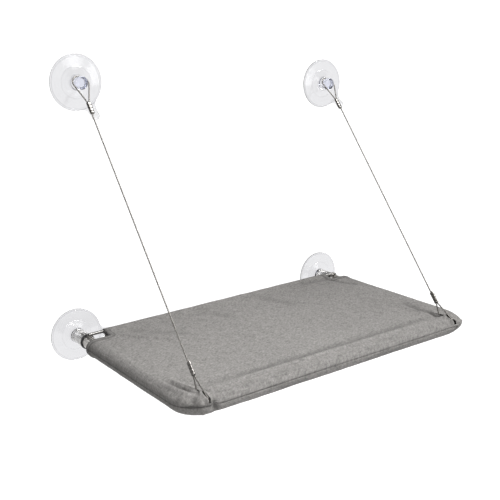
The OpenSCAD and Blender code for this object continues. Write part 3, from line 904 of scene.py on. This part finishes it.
def half_panel(rise, tail_steps):
    bm = bmesh.new()
    line = [bm.verts.new((-bend_x - out, -sleeve_y, z)) for out, z in section(rise)]
    first = [bm.edges.new(ends) for ends in zip(line, line[1:])]
    side_last = draw_out(bm, first, steps_along([(-y, 0) for y in side_stations]))
    draw_out(bm, edges_where(bm, lambda p: abs(p.x + bend_x) < hair), along_front)
    turned = side_last + list({v for e in side_last for v in e.verts})
    spun = bmesh.ops.spin(bm, geom=turned, cent=(-bend_x, -bend_y, 0), axis=(0, 0, 1),
                          angle=pi / 2, steps=bend_steps)["geom_last"]
    draw_out(bm, only(bmesh.types.BMEdge, spun), along_front)
    bmesh.ops.remove_doubles(bm, verts=bm.verts, dist=hair)
    rear = edges_where(bm, lambda p: abs(p.y + sleeve_y) < hair and p.x > -inner_x - hair)
    draw_out(bm, rear, tail_steps)
    if rise > 0:
        pocket_end = [v for v in bm.verts if abs(v.co.x + inner_x) < hair and v.co.y > -sleeve_y - hair]
        bmesh.ops.contextual_create(bm, geom=pocket_end)
    else:
        notch = edges_where(bm, lambda p: abs(p.x + inner_x) < hair and p.z < rise + 3 * MM)
        mouth = edges_where(bm, lambda p: abs(p.y + sleeve_y) < hair and p.z < rise + 3 * MM
                            and inner_x - hair < -p.x < half_w - tube_r - 0.5 * MM)
        draw_out(bm, [e for e in notch + mouth if e.is_boundary],
                 [Vector((0, 0, (top_r - cloth_t - rise) / wall_steps))] * wall_steps)
    bmesh.ops.mirror(bm, geom=bm.verts[:] + bm.edges[:] + bm.faces[:], matrix=Matrix.Identity(4),
                     merge_dist=hair, axis="X")
    bmesh.ops.remove_doubles(bm, verts=bm.verts, dist=hair)
    bmesh.ops.recalc_face_normals(bm, faces=bm.faces)
    middle = min(bm.faces, key=lambda f: (f.calc_center_median() - Vector((0, -0.2, rise))).length)
    if middle.normal.z * rise < 0:
        bmesh.ops.reverse_faces(bm, faces=bm.faces)
    return bm


def over_the_rod():
    """Steps from the back of the bed up over the rod and under it."""
    rise = rod_z + pocket_r - top_r
    route = [(-sleeve_y + (sleeve_y - rod_y) * i / 10, top_r + rise * i / 10) for i in range(11)]
    turns = [pi / 2 - pi * i / 12 for i in range(1, 13)]
    route += [(-rod_y + pocket_r * cos(a), rod_z + pocket_r * sin(a)) for a in turns]
    tail = ((1.9, 0.1), (3.9, 0.85), (5.9, 2.1), (7.6, 3.4), (tail_len / MM, 4.4))
    return steps_along(route + [(-rod_y - d * MM, rod_z - pocket_r + h * MM) for d, h in tail])


def up_the_back():
    """Steps from the back of the under panel up to the pocket."""
    wall, low, bend, high = rod_y + tail_len / 2, -sleeve_r, 2 * MM, rod_z - pocket_r
    route = [(-sleeve_y + (sleeve_y - wall - bend) * i / 6, low) for i in range(7)]
    route += [(-wall - 0.8 * MM, low + 0.5 * MM), (-wall, low + bend)]
    route += [(-wall, low + bend + (high - low - bend) * i / 8) for i in range(1, 8)]
    return steps_along(route + [(-wall, high + 0.9 * MM)])


top_bm = half_panel(top_r, over_the_rod())
under_bm = half_panel(-sleeve_r, up_the_back())
print("panels have", len(top_bm.faces), "and", len(under_bm.faces), "faces")

# %% [markdown]
# ## Lay the weave on the cloth
# Canvas is woven flat, so its threads have to follow it over the tube. For that each panel gets a UV map
# in metres, which is simply where each point lay before the cloth was wrapped. The distance down the
# roll is added to the distance out, and the threads then turn the corner without a jump.

# %% Unwrap
def bend_centre(p):
    """The nearest bend's centre, or the nearest point between two of them."""
    return Vector((max(-bend_x, min(bend_x, p.x)), max(-bend_y, p.y)))


def laid_flat(p, rise):
    """Where a point of the wrapped cloth lay before it was wrapped."""
    if p.y > -sleeve_y - hair:
        return Vector((p.x + p.z - rise, p.y + p.z - rise))
    centre = bend_centre(p)
    reach = p.xy - centre
    if reach.length <= bend_r + hair:
        return p.xy
    turn = atan2(abs(p.z), reach.length - bend_r)
    return centre + reach.normalized() * (bend_r + sleeve_r * (pi / 2 - turn))


for bm, rise in ((top_bm, top_r), (under_bm, -sleeve_r)):
    threads = bm.loops.layers.uv.new("threads")
    for face in bm.faces:
        for loop in face.loops:
            loop[threads].uv = laid_flat(loop.vert.co, rise)

# %% [markdown]
# ## Slits for the wires
# Each wire goes through the top panel to reach the tube. The slit is as wide as the leaning wire and
# long enough for the wire to swing out from the glass. Four cuts with a plane give it clean edges on
# the sheet, and the small piece between them is deleted.

# %% Cut the slits
swing_range, slit_play, slit_below, cut_reach = radians(45), 0.5 * MM, 0.7 * MM, (12 * MM, 8 * MM)


def cut_slit(bm, side, top, end_turn):
    """Cuts one slit, and returns the place of its middle along X and its width."""
    lean = sleeve_r * top[0] / top[1]
    width = 2 * wire_r + abs(lean) + slit_play
    middle = side * (wire_x + lean / 2)
    low_z = (loop_r + wire_r + slit_below) * cos(end_turn)
    back = -wire_y + loop_r + low_leg / 4
    planes = (((middle - width / 2, 0, 0), (1, 0, 0)), ((middle + width / 2, 0, 0), (1, 0, 0)),
              ((0, back, 0), (0, 1, 0)), ((0, 0, low_z), (0, 0, 1)))

    def within(face, half, past, low):
        place = face.calc_center_median()
        return abs(place.x - middle) < half and place.y < back + past and place.z > low

    for point, normal in planes:
        faces = [f for f in bm.faces if within(f, *cut_reach, -1)]
        geometry = set(faces) | {e for f in faces for e in f.edges} | {v for f in faces for v in f.verts}
        bmesh.ops.bisect_plane(bm, geom=list(geometry), dist=1e-7, plane_co=point, plane_no=normal)
    hole = [f for f in bm.faces if within(f, width / 2, 0, low_z)]
    bmesh.ops.delete(bm, geom=hole, context="FACES")
    print("slit", round(width / MM, 2), "mm wide,", len(hole), "faces taken out")
    return middle, width


swing_end = touch(low_leg, pair, loop_r) + swing_range - atan2(run_y, wire_height(right_wire_top))
slits = [cut_slit(top_bm, side, top, swing_end) for _, side, top in sides]

# %% [markdown]
# ## Folds, hems and sag
# Stretched canvas isn't smooth. It dips between the tubes, it is pulled into sharp folds where a wire
# goes through it, and it is thicker where it is hemmed. Each fold here is a line between two points with
# a width and a height, and every vertex moves along its own normal by the sum of what reaches it. Near
# a slit nothing moves across it, so that the cloth stays clear of the wire. The lines come from the
# photograph, placed on the cover by the camera above.

# %% Fold lines, as two ends in millimetres, half width and height
top_folds = [
    ((-218, -72, 11), (-142, -158, 11), 3.8, 1.9), ((-200, -60, 12), (-112, -146, 10), 9.0, -0.6),
    ((-244, -274, 11), (-234, -331, 11), 1.8, -1.7), ((-251, -288, 10), (-245, -338, 10), 3.4, 2.0),
    ((-238, -274, 11), (-227, -326, 11), 3.2, 1.2), ((-243, -333, 11), (-262, -336, 7), 4.0, 2.0),
    ((-236, -343, 11), (-252, -354, 5), 3.4, -1.8), ((-228, -338, 12), (-240, -360, 2), 3.0, 1.9),
    ((-258, -345, 5), (-248, -357, 4), 3.5, 1.0), ((-216, -332, 12), (218, -338, 12), 2.0, 1.2),
    ((-214, -320, 11), (216, -325, 11), 7.5, -1.6), ((-216, -336, 12), (-204, -361, 2), 2.0, 2.6),
    ((-266, -338, 0.5), (-232, -361, 0.5), 2.4, -1.9), ((-217, -333, 12), (-198, -336, 12), 1.8, 1.3),
    ((-221, -354, 7), (-220, -361, 0), 3.0, -3.4), ((-231, -348, 9), (-228, -361, 1), 3.0, -1.6),
    ((-213, -345, 10), (-186, -356, 5), 3.2, -1.4), ((-205, -352, 8), (-160, -361, 3), 3.0, 0.9),
    ((-190, -345, 10), (-150, -352, 8), 4.0, -0.6), ((-120, -346, 11), (-70, -352, 9), 5.0, -0.5),
    ((60, -345, 11), (110, -352, 9), 5.0, -0.5), ((226, -244, 11), (219, -302, 11), 7.0, -1.5),
    ((222, -306, 11), (218, -332, 11), 3.2, -1.7), ((210, -262, 11), (210, -326, 11), 5.0, 1.0),
    ((213, -330, 12), (225, -331, 12), 3.4, -2.2), ((232, -338, 11), (248, -354, 5), 3.0, 1.6),
    ((226, -345, 11), (238, -361, 2), 2.8, -1.8), ((236, -330, 11), (258, -342, 6), 3.0, -1.2),
    ((214, -345, 10), (196, -358, 4), 3.0, 0.9), ((150, -60, 13), (216, -66, 13), 5.0, -1.2),
    ((216, -75, 11), (238, -130, 11), 4.5, -1.2), ((-60, -58, 14), (-20, -120, 10), 9.0, -0.7),
    ((60, -58, 14), (90, -140, 9), 10.0, -0.7), ((-30, -320, 11), (-60, -250, 8), 9.0, 0.5),
    ((110, -325, 11), (90, -240, 8), 9.0, 0.5),
]
under_folds = [
    ((-221, -361, -1), (-214, -352, -11), 3.4, -3.6), ((-209, -361, -2), (-200, -354, -10), 3.4, 0.9),
    ((-266, -338, -0.5), (-232, -361, -0.5), 2.4, -1.9), ((-264, -343, -3), (-248, -360, -4), 3.4, -2.2),
    ((-262, -350, -6), (-248, -352, -12), 4.0, 0.8), ((-232, -361, -3), (-234, -350, -12), 3.5, 0.9),
    ((232, -361, -2), (226, -350, -11), 3.6, -2.0), ((246, -358, -3), (256, -346, -5), 3.0, -1.4),
    ((-120, -358, -6), (-60, -356, -12), 5.0, -0.8), ((60, -358, -6), (120, -356, -12), 5.0, -0.8),
]
fold_gain = 1.7
ripples = ((0.36 * MM, 34), (0.18 * MM, 95), (0.07 * MM, 260))
line_places, line_w, line_depth = (1.6 * MM, 8.2 * MM), 1.3 * MM, 0.6 * MM
seam_w, seam_depth = 0.6 * MM, 0.6 * MM
jump_x, jump_y, jump_w, jump_h, jump_reach = -220 * MM, -345 * MM, 5 * MM, 3.4 * MM, 6 * MM
tip_way, tip_out, tip_drop = Vector((0.75, -0.66, 0)), 4.8, Vector((0, 0, -1.0))
tuck_place, tuck_reach, tuck_share = Vector((bend_x + 31 * MM, -bend_y - 29 * MM)), 22 * MM, 0.45
slit_lip_w, slit_lip_h = 2.0, 3.4


def fold_height(point, folds):
    total = 0.0
    for a, b, width, height in folds:
        start, end = Vector(a) * MM, Vector(b) * MM
        line = end - start
        share = min(max((point - start).dot(line) / line.length_squared, 0), 1)
        distance = (point - start - line * share).length / (width * MM)
        if distance < 3:
            fade = min(1, 4 * share + 0.25, 4 * (1 - share) + 0.25)
            total += height * MM * fade * exp(-distance * distance)
    return total


def dip(p, depth):
    """How far the bed sags here: most in the middle, and nothing at the rod, the arms and the front."""
    run = frame_d - 25 * MM
    share = max(0.0, min(1.0, (run + p.y) / (run - rod_y)))
    return depth * max(0.0, 1 - (p.x / inner_x) ** 2) * 4 * share * (1 - share)


def smooth_step(value, low, high):
    t = min(max((value - low) / (high - low), 0), 1)
    return t * t * (3 - 2 * t)


def edge_distance(p):
    """How far a point is from the edge of the notch and the mouth of the sleeve."""
    along, beside = -p.y - sleeve_y, abs(p.x) - inner_x
    if along >= 0 and beside <= 0:
        return hypot(along, beside)
    return along if along >= 0 else -beside


def hem_height(p):
    """The doubled band along the notch and the sleeve's mouth, and its two sunk lines of stitching."""
    edge = edge_distance(p)
    if edge > hem_w + 1 * MM or -p.y < rod_y + 2 * MM:
        return 0.0, 0.0
    band = 1 - smooth_step(edge, hem_w - 0.7 * MM, hem_w + 0.3 * MM)
    lines = sum(exp(-((edge - place) / line_w) ** 2) for place in line_places)
    return hem_t * band, min(1, lines + 0.35 * band + (1 - smooth_step(edge, 0, 1.2 * MM)))


def seam_jump(p):
    """Where the left wire's loop pulls on the cover, the seam jumps over it."""
    if p.y >= jump_y:
        return 0.0
    return jump_h * exp(-((p.x - jump_x) / jump_w) ** 2 - (p.z / jump_reach) ** 2)


def tip_reach(p):
    """The right front corner is sewn to a soft point that stands out a little."""
    corner = Vector((p.x - bend_x, p.y + bend_y))
    if corner.x <= 0 or corner.y >= 0:
        return Vector()
    facing = max(0.0, corner.normalized().dot(tip_way.xy.normalized())) ** 6
    out = smooth_step(corner.length, bend_r - 4 * MM, bend_r + sleeve_r)
    return (tip_way.normalized() * tip_out + tip_drop) * MM * facing * out


def tuck(p):
    """How far that corner's cloth is drawn to the height of the seam, which makes the point flat."""
    out = (p.xy - Vector((bend_x, -bend_y))).length if p.x > bend_x and p.y < -bend_y else 0.0
    near = exp(-((p.xy - tuck_place).length / tuck_reach) ** 2)
    return p.z * tuck_share * near * smooth_step(out, bend_r + 4 * MM, bend_r + 13 * MM)


def press_folds(bm, folds, depth, up):
    """Moves every vertex by the folds, ripples, hems and seam that reach it, but never across a slit."""
    crease_shade_layer = bm.verts.layers.float.new("painted_crease_shade")
    bm.normal_update()
    moves = []
    for v in bm.verts:
        p = v.co
        out = (p.xy - bend_centre(p)).length
        room = hypot(out - bend_r, p.z) - tube_r - cloth_t - 0.1 * MM
        fold = fold_gain * fold_height(p, folds)
        ripple = sum(height * noise.noise(p * density) for height, density in ripples)
        band, lines = hem_height(p)
        seam = exp(-(p.z / seam_w) ** 2) if out > bend_r + 8 * MM else 0.0
        offset = max(fold + ripple + 0.15 * MM, -room) + band - line_depth * lines - seam_depth * seam
        across = smooth_step(min(abs(p.x - middle) for middle, _ in slits), 2 * MM, 8 * MM)
        way = Vector((v.normal.x * across, v.normal.y, v.normal.z))
        sunk = min(0.7, max(0, -fold / (5 * MM)))
        rolled = smooth_step(out, bend_r, bend_r + 9 * MM)
        # The crease attribute is painted shade: it darkens the colour at the hem's stitch lines and edge, along the
        # seam (more on the left), in sunk folds and on the roll over the tube.
        v[crease_shade_layer] = min(1, 0.75 * lines + (0.66 - 1.3 * p.x) * seam + sunk + 0.16 * rolled)
        lift = Vector((0, 0, seam_jump(p) - dip(p, depth) * up - tuck(p)))
        moves.append((v, way * offset + lift + tip_reach(p)))
    for v, move in moves:
        v.co += move


for middle, width in slits:
    for lip in (-1, 1):
        x = (middle + lip * (width / 2 + 1.5 * MM)) / MM
        top_folds.append(((x, -339, 11), (x, -359, 6), slit_lip_w, slit_lip_h))
press_folds(top_bm, top_folds, sag, 1)
press_folds(under_bm, under_folds, under_sag, -1)

# %% [markdown]
# ## The canvas finish
# The cloth is a warm grey canvas in a twill weave. Close up it is a grid of threads that go over and under
# each other, and no two threads are equally thick. The crossings step sideways from thread to thread, so a
# fine diagonal grain runs over the cloth, and from further away it is softly mottled. Two sines on the UV
# map make the weave, noise stretched along one thread direction and then the other makes the slubs, noise
# stretched along the diagonal makes the grain, and broad noise makes the mottling.
# Painted shade lies on the colour too: it darkens towards the back and the right, and in the creases, seam and hem
# lines.

# %% Make the canvas
thread_pitch = 1.5 * MM


def canvas(name, colour):
    finish = Finish(name, {"Sheen Weight": 0.12, "Sheen Roughness": 0.5, "Sheen Tint": (0.9, 0.88, 0.86, 1),
                           "Specular IOR Level": 0.25})
    flat = finish.add("UVMap", {"uv_map": "threads"})
    across, along, _ = finish.parts(flat)
    pitch = 2 * pi / thread_pitch
    weave = (across * pitch).math("SINE") * (along * pitch).math("SINE")
    slub_a = finish.noise(1.0, 3, 0.65, finish.stretched(flat, (60, 480, 1)))
    slub_b = finish.noise(1.0, 3, 0.65, finish.stretched(flat, (480, 60, 1)))
    mottle = finish.noise(75, 4, 0.66, flat)
    here = finish.place()
    cloud = finish.noise(7, 3, 0.5, here)
    east, north, _ = finish.parts(here)
    # Painted shade from the crease attribute darkens the colour by up to 62 percent.
    painted_crease_shade = finish.kept("painted_crease_shade")
    bias = finish.add("CombineXYZ", {}, {"X": (across + along) * 110, "Y": (across - along) * 230})
    twill = finish.noise(1.0, 2, 0.7, bias)
    shade = weave * 0.06 + slub_a * 0.85 + slub_b * 0.85 + mottle * 0.6 + twill * 1.4 + cloud * 0.16 - 0.92
    # Painted shade: the colour falls off towards the back and towards the right, as the lamp's light does.
    painted_falloff = 1 - (north + 0.2) * 0.5 - (north + 0.16).kept_in(0, 1) * 0.8 - east.kept_in(0, 1) * 0.82
    shade = (shade * painted_falloff * (1 - painted_crease_shade * 0.62)).kept_in(0.2, 1.6)
    thread = weave * 0.5 + (slub_a + slub_b) * 0.9
    finish.wear({
        "Base Color": finish.tint(colour, shade),
        "Roughness": (slub_a * 0.12 + 0.82).kept_in(0, 1),
        "Normal": finish.bump(thread + mottle * 0.8 + twill * 0.8, 0.0007, 0.8),
    })
    return finish


canvas_finish = canvas("warm_grey_canvas", (0.217, 0.209, 0.200, 1))


def finish_cloth(name, bm, *replaced):
    bmesh.ops.triangulate(bm, faces=[f for f in bm.faces if len(f.verts) > 4])
    piece = built(name, bm, canvas_finish)
    thick = piece.modifiers.new("cloth thickness", "SOLIDIFY")
    thick.thickness, thick.offset, thick.use_even_offset = cloth_t * 0.9, -1, False
    return keep(piece, "bed", "canvas", *replaced)


top_cloth = finish_cloth("canvas_top", top_bm, "cover_top_panel", "cover_rod_pocket")
under_cloth = finish_cloth("canvas_under", under_bm, "cover_under_panel")

# %% [markdown]
# ## Stitches
# The seam round the cover is sewn with thick thread. At a distance a seam reads as a dashed line, so
# each stitch is a real small bead of thread, half sunk into the cloth. One bead is made from a low
# sphere and copied along the seam line. It has few faces, because there are hundreds. The hems'
# stitching is finer, and is only the two sunk lines pressed into the cloth above.

# %% Sew
stitch_pitch, stitch_len, stitch_w = 3.4 * MM, 2.2 * MM, 0.6 * MM
stitch_z, stitch_sunk = 0.7 * MM, 0.45 * MM
thread_finish = Finish("sewing_thread", {"Sheen Weight": 0.2, "Specular IOR Level": 0.3})
twist = thread_finish.noise(1500, 2)
thread_finish.wear({
    "Base Color": thread_finish.mix(twist, (0.055, 0.053, 0.05, 1), (0.11, 0.106, 0.10, 1)),
    "Roughness": twist * 0.2 + 0.6,
})


def bead_mesh():
    bm = bmesh.new()
    bmesh.ops.create_uvsphere(bm, u_segments=6, v_segments=4, radius=0.5)
    bm.transform(Matrix.Rotation(pi / 2, 4, "Y"))
    mesh = bpy.data.meshes.new("stitch")
    bm.to_mesh(mesh)
    return mesh


def sew(bead, places):
    """Adds a bead at each place, which is a point, the way along the seam and the way out of the cloth."""
    bm = bmesh.new()
    for point, way, out in places:
        across = out.cross(way).normalized()
        turn = Matrix((way, across, way.cross(across))).transposed().to_4x4()
        moved = point + Vector((0, 0, seam_jump(point))) + tip_reach(point)
        size = Matrix.Diagonal((stitch_len, stitch_w, stitch_w * 0.8, 1))
        stand = Matrix.Translation(moved) @ turn @ size
        count = len(bm.verts)
        bm.from_mesh(bead)
        bm.verts.ensure_lookup_table()
        bmesh.ops.transform(bm, matrix=stand, verts=bm.verts[count:])
    return bm


def rim_line(radius, z, step):
    """Places along the cover's outer edge, from the left sleeve's mouth round to the right one's."""
    side, bend = bend_y - sleeve_y, pi / 2 * (bend_r + radius)
    total = 2 * side + 2 * bend + 2 * bend_x
    count = int(total / step)
    for i in range(1, count):
        s = total * i / count
        mirrored = s > total / 2
        s = total - s if mirrored else s
        if s < side:
            p, n = Vector((-bend_x, -sleeve_y - s, 0)), Vector((-1, 0, 0))
        elif s < side + bend:
            a = pi + pi / 2 * (s - side) / bend
            p, n = Vector((-bend_x, -bend_y, 0)), Vector((cos(a), sin(a), 0))
        else:
            p, n = Vector((-bend_x + s - side - bend, -bend_y, 0)), Vector((0, -1, 0))
        if mirrored:
            p.x, n.x = -p.x, -n.x
        yield p + n * (bend_r + radius) + Vector((0, 0, z)), Vector((0, 0, 1)).cross(n), n


stitches = sew(bead_mesh(), rim_line(sleeve_r - stitch_sunk, stitch_z, stitch_pitch))
seam_stitches = keep(built("seam_stitches", stitches, thread_finish), "bed", "canvas")

wrap = pi / 2 * (sleeve_r + top_r) / 2
top_flat = (2 * half_w + 2 * wrap, frame_d - rod_y + wrap + pi * pocket_r + tail_len)
under_flat = (2 * half_w + 2 * sleeve_r * pi / 2, frame_d - rod_y + sleeve_r * pi / 2 + back_len)
print("the panels were cut to", [round(v, 3) for v in top_flat], "and", [round(v, 3) for v in under_flat])
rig.sheet(top_cloth, flat=top_flat, held="stretched", rests_on=["frame_tube", "rear_crossbar"],
         area=0.93 * top_flat[0] * top_flat[1], with_pieces=[seam_stitches])
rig.sheet(under_cloth, flat=under_flat, held="stretched", rests_on=["frame_tube"],
         area=0.93 * under_flat[0] * under_flat[1])

# %% [markdown]
# ## The boxes
# The box of the solids and the box of the dressed object are both written down.

# %% Write the sizes and finish
dressed_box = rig.bounds()
with open("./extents.json", "w") as out_file:
    json.dump({"cad": [list(c) for c in solid_box], "visual": [list(c) for c in dressed_box]}, out_file)
print("box", [round(v, 4) for v in dressed_box[1] - dressed_box[0]])
